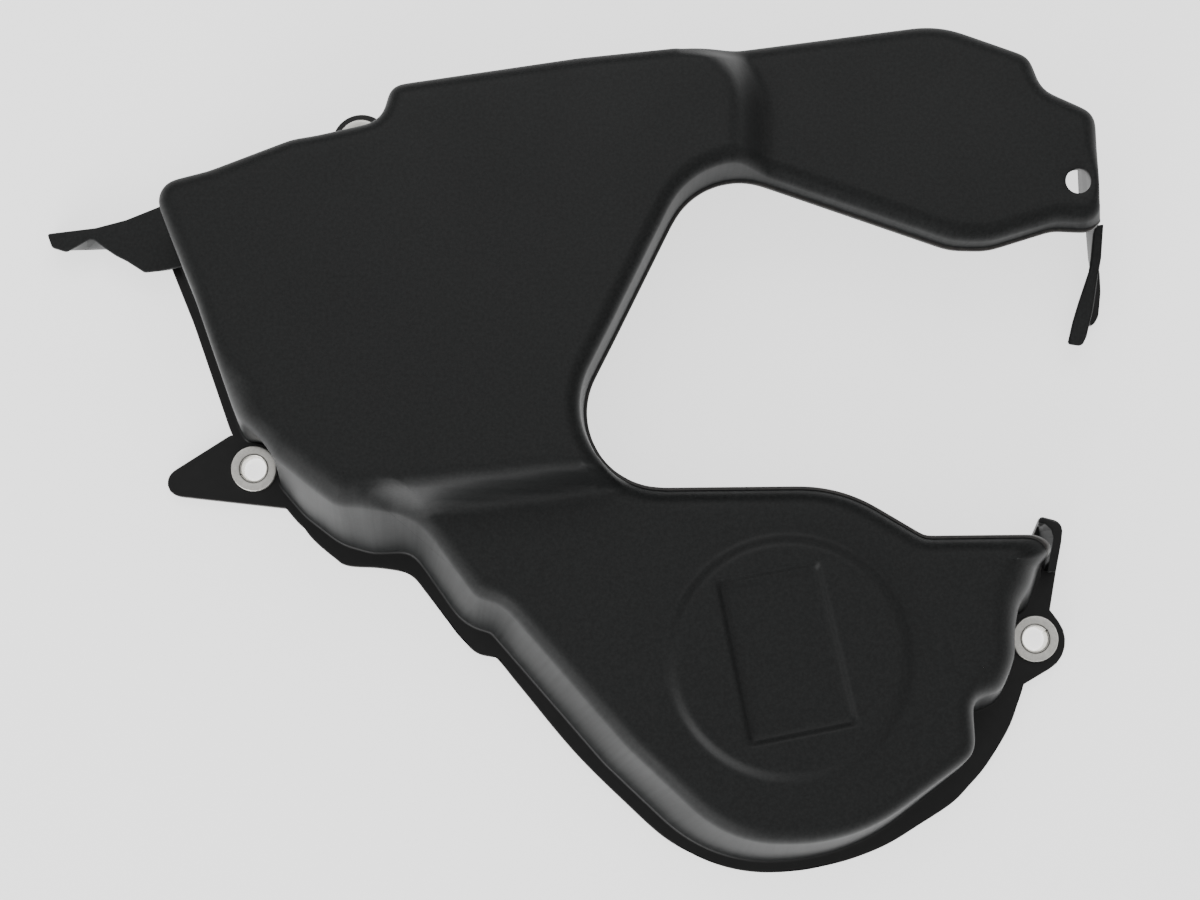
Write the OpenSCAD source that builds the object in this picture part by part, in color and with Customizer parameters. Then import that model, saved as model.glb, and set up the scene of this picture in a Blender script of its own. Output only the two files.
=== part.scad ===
// Timing cover of an engine: a moulded plastic cover with three flanged steel bolt sleeves.
// The origin is on the left sleeve's axis, in the plane that seats on the engine.
// X runs to the right, Y runs up and Z points away from the engine.

/* [Cover] */

// Length of the cover, from the tail's tip to the tongue
cover_l = 298.4; // [200:0.1:400]

// Width of the cover, from the pulley dome's lower edge to the arm's upper edge
cover_w = 235.8; // [160:0.1:320]

// Height of the high plateau above the engine
high_h = 46; // [40:0.5:60]

// Height of the arm's plateau
arm_h = 35; // [32:0.5:38]

// Height of the lower plateau that carries the round pad
low_h = 30; // [29.5:0.5:36]

// Height of the wall's lower edge round the open side
sill_h = 25; // [18:0.5:25]

// Thickness of the moulded wall
wall_t = 2.4; // [1.6:0.1:3]

// Size of the rounding between a plateau and its wall
crown_r = 4.2; // [3:0.1:4.6]

// Thickness of the rim that seats on the engine
rim_t = 3; // [2:0.1:5]

// Width of the rim outside the wall
rim_w = 2.5; // [1.5:0.1:4]

// Thickness of the small lip round the open side
lip_t = 1.2; // [0.8:0.1:2]

// Width of the small lip round the open side
lip_w = 0.8; // [0.4:0.1:1.5]

/* [Lean of the walls] */

// Plan distance that the left wall leans outward from crown to foot
left_lean = 5.8; // [3:0.1:8]

// The same for the wall at the lower left of the high plateau
front_lean = 9.6; // [6:0.1:12]

// The same for the wall at the lower left of the low plateau
dome_lean = 9.8; // [6:0.1:12]

// The same for the wall along the bottom
base_lean = 6.4; // [5:0.1:9]

// The same for the wall at the lower right
side_lean = 4.8; // [3:0.1:7]

// The same for the arm's right wall
skirt_lean = 5.2; // [4:0.1:7]

// The same for the upper wall
top_lean = 4.6; // [3:0.1:6]

// The same for the short wall round the open side
sill_lean = 1.2; // [0.6:0.1:2]

// The same for the upright wall beside the top sleeve
nook_lean = 0.6; // [0.3:0.1:1.5]

/* [Bolt sleeves] */

// Bore of each sleeve, for an M6 bolt
sleeve_bore_d = 6.5; // [6.2:0.1:7]

// Outside diameter of the sleeve's tube
sleeve_tube_d = 9; // [8.6:0.1:10]

// Diameter of the sleeve's flange
sleeve_flange_d = 12.7; // [11.5:0.1:13.5]

// Thickness of the sleeve's flange
sleeve_flange_t = 1.5; // [1:0.1:2.5]

// Width of the rounded mouth of the bore
sleeve_mouth = 0.9; // [0.4:0.1:1.1]

// Gap all round between the sleeve's tube and its seat
sleeve_fit_gap = 0.05; // [0:0.01:0.2]

/* [Pad and window] */

// Diameter of the raised round pad at its foot
pad_d = 66; // [56:0.5:72]

// Height of the pad above the low plateau
pad_h = 1.8; // [1:0.1:3]

// Plan width of the pad's sloping edge
pad_edge = 3.4; // [2:0.1:5]

// Depth of the sunk window in the pad
window_depth = 1.5; // [0.8:0.1:1.6]

// Plan width of the window's sloping sides
window_edge = 1.6; // [0.8:0.1:2.5]

// Diameter of the hole in the arm
arm_hole_d = 6.8; // [5:0.1:8]

/* [Lugs, tail and tongue] */

// Radius of the rim round the top sleeve
top_lug_r = 8.3; // [7.6:0.1:9]

// Height of the tail
tail_h = 8; // [5:0.5:10]

// Height of the tongue's wall and of the ear's wall
tongue_h = 14; // [8:0.5:16]

/* [Hidden] */

$fn = 64;
overrun = 1;
plastic = [0.12, 0.12, 0.125];
zinc = [0.74, 0.74, 0.72];

// Turning angle in degrees that one facet of a rounded corner takes.
facet_turn = 13;

// Places in the plan are shares of the cover's length and width, counted from the left sleeve.
function place(p) = [p.x * cover_l, p.y * cover_w];

right_sleeve_share = [0.7275, -0.2006];
top_sleeve_share = [0.0962, 0.3953];
arm_hole_share = [0.7534, 0.3159];
pad_share = [0.4910, -0.2231];
window_shares = [[0.4243, -0.1361], [0.4538, -0.3236], [0.5529, -0.2986], [0.5198, -0.1132]];
sleeve_spots = [[0, 0], place(right_sleeve_share), place(top_sleeve_share)];

// The centres of the two round ends of the open side, their radii, and where each one is met.
lower_bay_share = [0.3797, 0.0556];
lower_bay_r_share = 0.0744;
lower_bay_turns = [[270, 258, 246], [234, 230, 227, 223, 220, 216, 213], [202, 191, 180, 169, 158, 149]];
upper_bay_share = [0.4504, 0.2379];
upper_bay_r_share = 0.0737;
upper_bay_turns = [[154, 142, 130, 118, 106], [95, 92, 89, 86, 83, 80, 77], [71]];

// The step from the high plateau to the arm passes this place, half way along it.
step_middle_share = [0.4527, 0.3927];
step_columns = 6;

// Shares of the drop reached along a slope between two plateaus, rounded at both ends.
slope_shares = [0, 0.06, 0.24, 0.5, 0.76, 0.94, 1];
function slope(from, to) = [for (share = slope_shares) from + (to - from) * share];

// One corner of the crown line, where plateau and wall would meet if they weren't rounded:
// its place, corner radius, plateau height, height of the wall's foot, lean, and, where the
// wall doesn't lean squarely, the place of the foot.
function corner(at, r, top, foot, lean, foot_at) =
    [place(at), r * cover_l, top, foot, lean, is_undef(foot_at) ? undef : place(foot_at)];

arm_corners = [
    corner([0.7725, 0.2720], 0.0150, arm_h, sill_h, sill_lean),
    corner([0.7725, 0.2990], 0, arm_h, 0, skirt_lean),
    corner([0.7711, 0.3969], 0.0168, arm_h, 0, skirt_lean),
    corner([0.7235, 0.4249], 0.0134, arm_h, 0, top_lean),
    corner([0.7125, 0.4635], 0.0168, arm_h, 0, top_lean),
    corner([0.6317, 0.5004], 0.0938, arm_h, 0, top_lean)
];

arm_to_high_share = [[0.4440, 0.4687], [0.4110, 0.4619]];
high_corners = [
    corner([0.3053, 0.4478], 0, high_h, 0, top_lean),
    corner([0.1376, 0.4165], 0.0151, high_h, 0, top_lean / 2),
    corner([0.1310, 0.3766], 0.0235, high_h, 0, nook_lean),
    corner([0.0721, 0.3596], 0, high_h, 0, nook_lean),
    corner([0.0509, 0.3550], 0, high_h, 0, nook_lean * 2),
    corner([-0.0218, 0.3181], 0, high_h, 0, top_lean),
    corner([-0.0717, 0.3015], 0.0184, high_h, 0, left_lean),
    corner([-0.0338, 0.1862], 0, high_h, 0, left_lean),
    corner([0.0030, 0.0560], 0.0150, high_h, 0, left_lean)
];

// Behind the left sleeve the wall's foot follows a round pocket, and its crown runs straight.
pocket_r = sleeve_flange_d / 2 + rim_t / 2 + sleeve_fit_gap;
left_pocket_crown_shares = [[0.0100, 0.0392], [0.0410, -0.0009]];
left_pocket_turns = [108, 72, 36, 0, -34];
left_pocket = [
    for (i = [0 : len(left_pocket_turns) - 1])
    let (share = i / (len(left_pocket_turns) - 1), foot = pocket_r * heading(left_pocket_turns[i]))
    [between(place(left_pocket_crown_shares[0]), place(left_pocket_crown_shares[1]), share),
     0, high_h, 0, 0, foot]
];

front_corners = [
    corner([0.0670, -0.0250], 0, high_h, 0, front_lean),
    corner([0.0938, -0.0509], 0.0168, high_h, 0, front_lean)
];
high_to_low_shares = [
    [0.1223, -0.0513], [0.1357, -0.0517], [0.1488, -0.0547], [0.1562, -0.0615],
    [0.1622, -0.0679], [0.1682, -0.0746], [0.1743, -0.0818]
];
high_to_low_foot_shares = [
    [0.1123, -0.1026], [0.1260, -0.1024], [0.1380, -0.1021], [0.1454, -0.1037],
    [0.1515, -0.1086], [0.1562, -0.1154], [0.1609, -0.1238]
];
high_to_low = [
    for (i = [0 : len(slope_shares) - 1])
    corner(
        high_to_low_shares[i], 0, slope(high_h, low_h)[i], 0, front_lean, high_to_low_foot_shares[i]
    )
];

low_corners = [
    corner([0.2158, -0.1518], 0.0168, low_h, 0, dome_lean),
    corner([0.2389, -0.1586], 0.0380, low_h, 0, dome_lean),
    corner([0.3502, -0.3193], 0, low_h, 0, dome_lean),
    corner([0.4400, -0.4257], 0.1106, low_h, 0, dome_lean),
    corner([0.5479, -0.4260], 0.1676, low_h, 0, base_lean),
    corner([0.6548, -0.3287], 0.0201, low_h, 0, side_lean),
    corner([0.6525, -0.2650], 0.0087, low_h, 0, side_lean, [0.6680, -0.2884]),
    corner([0.6790, -0.2578], 0.0168, low_h, 0, side_lean, [0.6960, -0.2780]),
    corner([0.6870, -0.2354], 0, low_h, 0, side_lean, [0.7020, -0.2480])
];

// The wall's foot rounds the right sleeve in the same way.
right_pocket_crown_shares = [
    [0.6908, -0.2172], [0.6930, -0.1960], [0.6952, -0.1795], [0.6985, -0.1560], [0.7060, -0.1340]
];
right_pocket_turns = [232, 199, 166, 133, 100];
right_pocket = [
    for (i = [0 : len(right_pocket_turns) - 1])
    [place(right_pocket_crown_shares[i]), 0, low_h, 0, 0,
     sleeve_spots[1] + pocket_r * heading(right_pocket_turns[i])]
];
ear_corners = [
    corner([0.7148, -0.1226], 0, low_h, 0, side_lean, [0.7396, -0.1180])
];
low_sill_corners = [
    corner([0.7250, -0.0916], 0.0134, low_h, sill_h, sill_lean),
    corner([0.6136, -0.0933], 0.0168, low_h, sill_h, sill_lean),
    corner([0.5382, -0.0365], 0.1273, low_h, sill_h, sill_lean)
];

function bay(centre_share, r_share, turns, tops) = [
    for (i = [0 : len(turns) - 1])
    [place(centre_share) + r_share * cover_l * heading(turns[i]), 0, tops[i], sill_h, sill_lean, undef]
];
function level(turns, top) = [for (turn = turns) top];
low_to_high = bay(lower_bay_share, lower_bay_r_share, lower_bay_turns[1], slope(low_h, high_h));
high_sill_corners = concat(
    bay(lower_bay_share, lower_bay_r_share, lower_bay_turns[2], level(lower_bay_turns[2], high_h)),
    [corner([0.3324, 0.1455], 0, high_h, sill_h, sill_lean)],
    bay(upper_bay_share, upper_bay_r_share, upper_bay_turns[0], level(upper_bay_turns[0], high_h))
);
high_to_arm = bay(upper_bay_share, upper_bay_r_share, upper_bay_turns[1], slope(high_h, arm_h));
arm_sill_corners = concat(
    bay(upper_bay_share, upper_bay_r_share, upper_bay_turns[2], [arm_h]),
    [
        corner([0.6424, 0.2515], 0.0503, arm_h, sill_h, sill_lean),
        corner([0.6749, 0.2506], 0.0503, arm_h, sill_h, sill_lean),
        corner([0.7346, 0.2744], 0.0335, arm_h, sill_h, sill_lean)
    ]
);
arm_to_high = [
    for (i = [0 : len(slope_shares) - 1])
    [between(place(arm_to_high_share[0]), place(arm_to_high_share[1]), i / (len(slope_shares) - 1)),
     0, slope(arm_h, high_h)[i], 0, top_lean, undef]
];

// The crown line runs anticlockwise, from the arm's lower right corner round to it again.
stretches = [
    arm_corners,
    arm_to_high,
    concat(high_corners, left_pocket, front_corners),
    high_to_low,
    concat(
        low_corners, right_pocket, ear_corners, low_sill_corners,
        bay(lower_bay_share, lower_bay_r_share, lower_bay_turns[0], level(lower_bay_turns[0], low_h))
    ),
    low_to_high,
    high_sill_corners,
    high_to_arm,
    arm_sill_corners
];
corners = [for (stretch = stretches) each stretch];
corner_count = len(corners);

function heading(a) = [cos(a), sin(a)];
function unit(v) = v / norm(v);
function inward(from, to) = unit([from.y - to.y, to.x - from.x]);
function between(a, b, share) = a + (b - a) * share;

// The way in which a corner moves when both sides next to it move inward by one.
function mitre(before, at, after) =
    let (a = inward(before, at), b = inward(at, after)) (a + b) / (1 + a * b);

function turn(before, at, after) =
    let (a = unit(at - before), b = unit(after - at)) asin(max(-1, min(1, a.x * b.y - a.y * b.x)));

function next(i) = (i + 1) % corner_count;
function last(i) = (i + corner_count - 1) % corner_count;

mitres = [
    for (i = [0 : corner_count - 1])
    mitre(corners[last(i)][0], corners[i][0], corners[next(i)][0])
];
turns = [
    for (i = [0 : corner_count - 1])
    turn(corners[last(i)][0], corners[i][0], corners[next(i)][0])
];
feet = [
    for (i = [0 : corner_count - 1])
    is_undef(corners[i][5]) ? corners[i][0] - mitres[i] * corners[i][4] : corners[i][5]
];
station_counts = [
    for (i = [0 : corner_count - 1])
    corners[i][1] == 0 ? 1 : 1 + max(2, ceil(abs(turns[i]) / facet_turn))
];

// The points of one rounded corner of a ring, or the corner itself where it stays sharp.
function rounded(before, at, after, r, count) =
    count == 1 ? [at] :
    let (
        u = unit(before - at),
        v = unit(after - at),
        half = acos(u * v) / 2,
        centre = at + unit(u + v) * r / sin(half),
        start = at + u * r / tan(half) - centre,
        stop = at + v * r / tan(half) - centre,
        sweep = 180 - 2 * half
    )
    [
        for (k = [0 : count - 1])
        let (share = k / (count - 1))
        centre + (start * sin(sweep * (1 - share)) + stop * sin(sweep * share)) / sin(sweep)
    ];

// One ring round the wall. out_shares says how far each corner has moved from the crown line
// towards the foot, and shifts then moves each corner squarely inward.
min_corner_r = crown_r / 14;
function ring_corners(out_shares, shifts) = [
    for (i = [0 : corner_count - 1])
    corners[i][0] + (feet[i] - corners[i][0]) * out_shares[i] + mitres[i] * shifts[i]
];
function ring(out_shares, shifts, heights) =
    let (at = ring_corners(out_shares, shifts))
    [
        for (i = [0 : corner_count - 1])
        let (
            move = shifts[i] - out_shares[i] * corners[i][4],
            r = max(min_corner_r, corners[i][1] + (turns[i] > 0 ? -move : move))
        )
        for (p = rounded(at[last(i)], at[i], at[next(i)], r, station_counts[i])) [p.x, p.y, heights[i]]
    ];

// How far towards the foot the wall is where the crown's rounding starts.
crown_shares = [for (c = corners) crown_r / (c[2] - c[3])];

function crown_ring(share) =
    let (
        a = (1 - share) * (1 - share),
        b = 1.5 * share * (1 - share),
        c = share * share,
        sum = a + b + c
    )
    ring(crown_shares * a / sum, same(crown_r * c / sum), [for (p = corners) p[2] - crown_r * a / sum]);

// The rim is wide and thick where the wall seats on the engine, and a small lip round the open side.
function same(value) = [for (c = corners) value];
foot_heights = [for (c = corners) c[3]];
rim_heights = [for (c = corners) c[3] + (c[3] > 0 ? lip_t : rim_t)];
rim_shifts = [for (c = corners) c[3] > 0 ? -lip_w : -rim_w];
rim_shares = [for (i = [0 : corner_count - 1])
    1 - (rim_heights[i] - foot_heights[i]) / (corners[i][2] - foot_heights[i])];
outer_rings = [
    ring(same(1), rim_shifts, foot_heights),
    ring(same(1), rim_shifts, rim_heights),
    ring(rim_shares, same(0), rim_heights),
    crown_ring(0), crown_ring(0.3), crown_ring(0.6), crown_ring(1)
];
inner_rings = [
    ring(same(1), same(wall_t), foot_heights),
    ring(crown_shares, same(wall_t), [for (p = corners) p[2] - crown_r]),
    ring(same(0), same(crown_r), [for (p = corners) p[2] - wall_t])
];
station_count = len(outer_rings[0]);

// The first and the last station of each stretch.
function total(values, count) = count == 0 ? 0 : values[count - 1] + total(values, count - 1);
function stretch_start(n) =
    total(station_counts, total([for (stretch = stretches) len(stretch)], n));
starts = [for (n = [0 : len(stretches)]) stretch_start(n)];

// The step to the arm bows outward: each of its rows passes its own middle place.
row_count = len(slope_shares);
step_width = crown_r * 1.6;
function step_row(crown, row, drop) =
    let (
        from = crown[starts[7] + row],
        to = crown[starts[2] - 1 - row],
        middle = place(step_middle_share) + [step_width * (row / (row_count - 1) - 0.4), 0],
        pull = 2 * middle - ([from.x, from.y] + [to.x, to.y]) / 2,
        z = slope(high_h, arm_h)[row] - drop
    )
    [
        for (k = [1 : step_columns - 1])
        let (s = k / step_columns, a = (1 - s) * (1 - s), b = 2 * s * (1 - s), c = s * s)
        [a * from.x + b * pull.x + c * to.x, a * from.y + b * pull.y + c * to.y, z]
    ];

hub_shares = [[0.6200, 0.3817], [0.1609, 0.3138], [0.4910, -0.1900]];
function hub(n, z) = concat(place(hub_shares[n]), [z]);

// One skin of the shell: its rings, then the rows of the step, then a hub for each plateau.
function skin_points(rings, drop) = concat(
    [for (r = rings) each r],
    [for (row = [0 : row_count - 1]) each step_row(rings[len(rings) - 1], row, drop)],
    [hub(0, arm_h - drop), hub(1, high_h - drop), hub(2, low_h - drop)]
);
function skin_size(ring_total) = ring_total * station_count + row_count * (step_columns - 1) + 3;

function station(i) = i % station_count;
function wall_faces(base, ring_total) = [
    for (r = [0 : ring_total - 2], i = [0 : station_count - 1])
    let (
        a = base + r * station_count + i,
        b = base + r * station_count + station(i + 1),
        c = b + station_count,
        d = a + station_count
    )
    each [[a, d, b], [b, d, c]]
];

// Point k of one row of the step, counted from the open side to the upper wall.
function step_point(base, ring_total, row, k) =
    k == 0 ? base + (ring_total - 1) * station_count + starts[7] + row :
    k == step_columns ? base + (ring_total - 1) * station_count + starts[2] - 1 - row :
    base + ring_total * station_count + row * (step_columns - 1) + k - 1;
function step_faces(base, ring_total) = [
    for (row = [0 : row_count - 2], k = [0 : step_columns - 1])
    let (
        a = step_point(base, ring_total, row, k),
        b = step_point(base, ring_total, row, k + 1),
        c = step_point(base, ring_total, row + 1, k + 1),
        d = step_point(base, ring_total, row + 1, k)
    )
    each [[a, b, c], [a, c, d]]
];

// The ramp joins the two stretches that fall from the high plateau to the low one.
function ramp_faces(base, ring_total) = [
    for (row = [0 : row_count - 2])
    let (
        top = base + (ring_total - 1) * station_count,
        a = top + starts[3] + row,
        b = a + 1,
        c = top + starts[6] - 2 - row,
        d = c + 1
    )
    each [[a, d, b], [b, d, c]]
];

function fan(hub_point, loop) = [
    for (k = [0 : len(loop) - 1]) [hub_point, loop[(k + 1) % len(loop)], loop[k]]
];
function span(base, ring_total, from, to) =
    [for (i = [from : to]) base + (ring_total - 1) * station_count + station(i)];
function plateau_faces(base, ring_total) =
    let (
        hubs = base + ring_total * station_count + row_count * (step_columns - 1),
        inner_columns = [for (k = [1 : step_columns - 1]) k]
    )
    concat(
        fan(hubs, concat(
            span(base, ring_total, starts[8] - 1, station_count + starts[1]),
            [for (k = inner_columns) step_point(base, ring_total, row_count - 1, step_columns - k)]
        )),
        fan(hubs + 1, concat(
            span(base, ring_total, starts[2] - 1, starts[3]),
            span(base, ring_total, starts[6] - 1, starts[7]),
            [for (k = inner_columns) step_point(base, ring_total, 0, k)]
        )),
        fan(hubs + 2, span(base, ring_total, starts[4] - 1, starts[5]))
    );
function skin_faces(base, ring_total) = concat(
    wall_faces(base, ring_total), step_faces(base, ring_total),
    ramp_faces(base, ring_total), plateau_faces(base, ring_total)
);
function flipped(faces) = [for (f = faces) [f[2], f[1], f[0]]];

module blank() {
    inner_base = skin_size(len(outer_rings));
    foot_faces = [
        for (i = [0 : station_count - 1])
        let (j = station(i + 1))
        each [[i, j, inner_base + i], [j, inner_base + j, inner_base + i]]
    ];
    polyhedron(
        points = concat(skin_points(outer_rings, 0), skin_points(inner_rings, wall_t)),
        faces = concat(
            skin_faces(0, len(outer_rings)),
            flipped(skin_faces(inner_base, len(inner_rings))),
            foot_faces
        ),
        convexity = 10
    );
}

function flat_points(points) = [for (p = points) [p.x, p.y]];

// A flat outline from rows of place and corner radius, both as shares.
function outline(rows) =
    let (count = len(rows), at = [for (row = rows) place([row[0], row[1]])])
    [
        for (i = [0 : count - 1])
        let (r = len(rows[i]) > 2 ? rows[i][2] * cover_l : 0)
        for (p = rounded(
            at[(i + count - 1) % count], at[i], at[(i + 1) % count],
            r, r == 0 ? 1 : 7
        )) p
    ];

left_lug_shares = [
    [-0.0231, 0.0407], [-0.1072, -0.0276, 0.0134], [0.0308, -0.0471], [0.0452, -0.0560], [0.0570, 0.0200]
];
heel_shares = [
    [0.5850, -0.4370], [0.6176, -0.4155, 0.2000], [0.6883, -0.3584, 0.2050], [0.7208, -0.2400],
    [0.6870, -0.2629], [0.6568, -0.3393], [0.6367, -0.3732]
];
crossing_shares = [
    [0.1290, -0.1160], [0.1500, -0.1270, 0.0300], [0.1930, -0.1976], [0.2090, -0.2190, 0.0250],
    [0.2330, -0.2240], [0.2250, -0.2080], [0.1944, -0.1781], [0.1575, -0.1166]
];
right_lug_shares = [
    [0.7100, -0.2590], [0.7704, -0.2142, 0.0302], [0.7422, -0.1656], [0.7171, -0.1469], [0.6836, -0.2445]
];
ear_shares = [
    [0.7406, -0.1817], [0.7577, -0.0632, 0.0101], [0.7366, -0.0564, 0.0020], [0.7279, -0.0806],
    [0.7279, -0.1150], [0.7180, -0.1450]
];
tongue_shares = [
    [0.7845, 0.3150], [0.7895, 0.2480], [0.7875, 0.2120], [0.7845, 0.1850], [0.7815, 0.1560, 0.0035],
    [0.7712, 0.1480, 0.0035], [0.7755, 0.1720], [0.7798, 0.1960], [0.7845, 0.2180], [0.7870, 0.2420],
    [0.7800, 0.3150]
];
ear_wall_shares = [
    [0.7390, -0.1080], [0.7450, -0.0850, 0.0201], [0.7462, -0.0640, 0.0050], [0.7372, -0.0600],
    [0.7372, -0.0720, 0.0010], [0.7400, -0.0740], [0.7330, -0.1080]
];
tail_foot_shares = [
    [-0.0790, 0.2220], [-0.0955, 0.3181], [-0.1273, 0.3007], [-0.1642, 0.2897],
    [-0.2032, 0.2838, 0.0050], [-0.1960, 0.2630, 0.0067], [-0.1440, 0.2650], [-0.1260, 0.2520],
    [-0.1065, 0.2370, 0.0067], [-0.0900, 0.2440]
];
tail_top_shares = [
    [-0.0700, 0.2270], [-0.0860, 0.3140], [-0.1227, 0.2964], [-0.1990, 0.2810, 0.0060],
    [-0.1880, 0.2550, 0.0050], [-0.1720, 0.2620], [-0.1585, 0.2760, 0.0200], [-0.1440, 0.2660],
    [-0.1206, 0.2460], [-0.1035, 0.2310, 0.0067], [-0.0850, 0.2400]
];

module plate(rows, height) {
    linear_extrude(height) polygon(outline(rows));
}

module hollow_core(height) {
    translate([0, 0, -overrun])
    linear_extrude(height + overrun)
    polygon(flat_points(ring(same(1), same(wall_t / 2), foot_heights)));
}

module lugs() {
    difference() {
        union() {
            plate(left_lug_shares, rim_t);
            plate(heel_shares, rim_t);
            plate(crossing_shares, rim_t);
            plate(right_lug_shares, rim_t);
            plate(ear_shares, rim_t);
            plate(tail_foot_shares, rim_t);
            translate(sleeve_spots[2]) cylinder(r = top_lug_r, h = rim_t);
        }
        hollow_core(rim_t + overrun);
    }
}

module raised_walls() {
    difference() {
        union() {
            plate(tongue_shares, tongue_h);
            plate(ear_wall_shares, tongue_h);
            plate(tail_top_shares, tail_h);
        }
        hollow_core(tongue_h + overrun);
    }
}

// The pad's sloping edge starts inside the wall, so that it leaves the plateau at the pad's diameter.
module pad() {
    sunk = wall_t / 2;
    translate(place(pad_share))
    translate([0, 0, low_h - sunk])
    cylinder(
        r1 = pad_d / 2 + pad_edge * sunk / pad_h,
        r2 = pad_d / 2 - pad_edge,
        h = sunk + pad_h,
        $fn = 96
    );
}

// A pyramid stump between the window's rim and its smaller floor.
module window_cut() {
    points = [for (share = window_shares) place(share)];
    middle = (points[0] + points[1] + points[2] + points[3]) / 4;
    top = low_h + pad_h;
    slant = window_edge / window_depth;
    function at(i, z) =
        let (reach = window_edge - (top - z) * slant)
        concat(points[i] + unit(points[i] - middle) * (reach - window_edge) * sqrt(2), [z]);
    ceiling = [for (i = [0 : 3]) at(i, top + overrun)];
    floor = [for (i = [0 : 3]) at(i, top - window_depth)];
    polyhedron(
        points = concat(floor, ceiling),
        faces = [
            [0, 1, 2, 3], [7, 6, 5, 4],
            [1, 0, 4, 5], [2, 1, 5, 6], [3, 2, 6, 7], [0, 3, 7, 4]
        ]
    );
}

module sleeve_seats() {
    for (spot = sleeve_spots)
        translate(spot)
        translate([0, 0, -overrun])
        cylinder(d = sleeve_tube_d + 2 * sleeve_fit_gap, h = rim_t + 2 * overrun);
}

// The hole runs on past the rounding inside the crown, which it meets on its right.
module arm_hole() {
    translate(place(arm_hole_share))
    translate([0, 0, arm_h - crown_r - overrun])
    cylinder(d = arm_hole_d, h = crown_r + 2 * overrun);
}

module cover_shell() {
    color(plastic)
    difference() {
        union() {
            blank();
            lugs();
            raised_walls();
            pad();
        }
        sleeve_seats();
        arm_hole();
        window_cut();
    }
}

// The flanged sleeve is turned about its own axis, with a rounded mouth at the flange.
module bolt_sleeve(spot) {
    bore_r = sleeve_bore_d / 2;
    height = rim_t + sleeve_flange_t;
    mouth_centre = [bore_r + sleeve_mouth, height - sleeve_mouth];
    translate(spot)
    color(zinc)
    rotate_extrude($fn = 96)
    polygon(concat(
        [
            [bore_r, 0],
            [sleeve_tube_d / 2, 0],
            [sleeve_tube_d / 2, rim_t],
            [sleeve_flange_d / 2, rim_t],
            [sleeve_flange_d / 2, height]
        ],
        [for (a = [90 : 30 : 180]) mouth_centre + sleeve_mouth * heading(a)]
    ));
}

module bolt_sleeve_left() {
    bolt_sleeve(sleeve_spots[0]);
}

module bolt_sleeve_right() {
    bolt_sleeve(sleeve_spots[1]);
}

module bolt_sleeve_top() {
    bolt_sleeve(sleeve_spots[2]);
}

cover_shell();
bolt_sleeve_left();
bolt_sleeve_right();
bolt_sleeve_top();
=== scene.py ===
"""The timing cover: a moulded black plastic shell with three flanged steel bolt sleeves.

Lengths are in millimetres until a mesh is made. The origin is on the left sleeve's axis, in the
plane that seats on the engine, and most named sizes repeat those of the part's own source.
"""

import math

import bmesh
import bpy
import numpy as np
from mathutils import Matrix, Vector
from mathutils.geometry import delaunay_2d_cdt


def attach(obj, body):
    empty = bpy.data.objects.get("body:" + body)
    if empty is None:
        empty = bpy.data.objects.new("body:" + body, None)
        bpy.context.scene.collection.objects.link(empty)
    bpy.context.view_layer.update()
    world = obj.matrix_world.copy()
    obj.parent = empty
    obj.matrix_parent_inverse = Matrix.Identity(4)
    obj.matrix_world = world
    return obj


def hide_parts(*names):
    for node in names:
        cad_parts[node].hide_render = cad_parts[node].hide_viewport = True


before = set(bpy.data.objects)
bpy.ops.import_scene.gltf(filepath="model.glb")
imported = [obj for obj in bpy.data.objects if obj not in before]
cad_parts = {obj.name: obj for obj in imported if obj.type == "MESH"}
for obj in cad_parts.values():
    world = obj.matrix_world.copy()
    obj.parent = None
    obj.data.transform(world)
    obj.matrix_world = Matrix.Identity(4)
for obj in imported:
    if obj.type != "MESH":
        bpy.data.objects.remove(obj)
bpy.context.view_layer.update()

MM = 0.001
COVER_SIZE = np.array([298.4, 235.8])
HIGH, ARM, LOW, SILL = 46.0, 35.0, 30.0, 25.0
WALL, CROWN = 2.4, 4.2
RIM_T, RIM_W = 3.0, 2.5
LIP_T, LIP_W = 1.2, 0.8
LEFT_LEAN, FRONT_LEAN, DOME_LEAN, BASE_LEAN = 5.8, 9.6, 9.8, 6.4
SIDE_LEAN, SKIRT_LEAN, TOP_LEAN, SILL_LEAN, NOOK_LEAN = 4.8, 5.2, 4.6, 1.2, 0.6
TAIL_H = 8.0
SLEEVE_SEAT_R = 4.55
POCKET_R = 6.35 + RIM_T / 2 + 0.05

# Centre x, centre y and the turn in degrees of the seam in each rolled sleeve.
SLEEVES = {
    "bolt_sleeve_left": (0.0, 0.0, 205.0),
    "bolt_sleeve_right": (217.086, -47.301, 35.0),
    "bolt_sleeve_top": (28.706, 93.212, 90.0),
}
ARM_HOLE = (224.81, 74.49, 3.4)
PAD_CENTRE, PAD_R, PAD_H, PAD_EDGE = (146.5, -52.6), 33.0, 1.8, 3.4
WINDOW_CORNERS = [(0.4243, -0.1361), (0.4538, -0.3236), (0.5529, -0.2986), (0.5198, -0.1132)]
WINDOW_DEPTH, WINDOW_EDGE = 1.5, 2.2


def place(x, y):
    """Shares of the cover's length and width, as millimetres."""
    return (x * COVER_SIZE[0], y * COVER_SIZE[1])


def corner(at, round_share, foot, lean, foot_at=None):
    """A corner of the crown line: place, radius, height of the wall's foot, lean, and the foot's place."""
    foot_place = (np.nan, np.nan) if foot_at is None else place(*foot_at)
    return (*place(*at), round_share * COVER_SIZE[0], foot, lean, *foot_place)


def on_circle(centre, r, turn):
    """The point of a circle at a turn in degrees."""
    return (centre[0] + r * math.cos(math.radians(turn)), centre[1] + r * math.sin(math.radians(turn)))


def bay(centre, radius_share, turns):
    """Corners on the round end of the open side, at the given turns in degrees."""
    at, r = place(*centre), radius_share * COVER_SIZE[0]
    return [(*on_circle(at, r, turn), 0, SILL, SILL_LEAN, np.nan, np.nan) for turn in turns]


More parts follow.
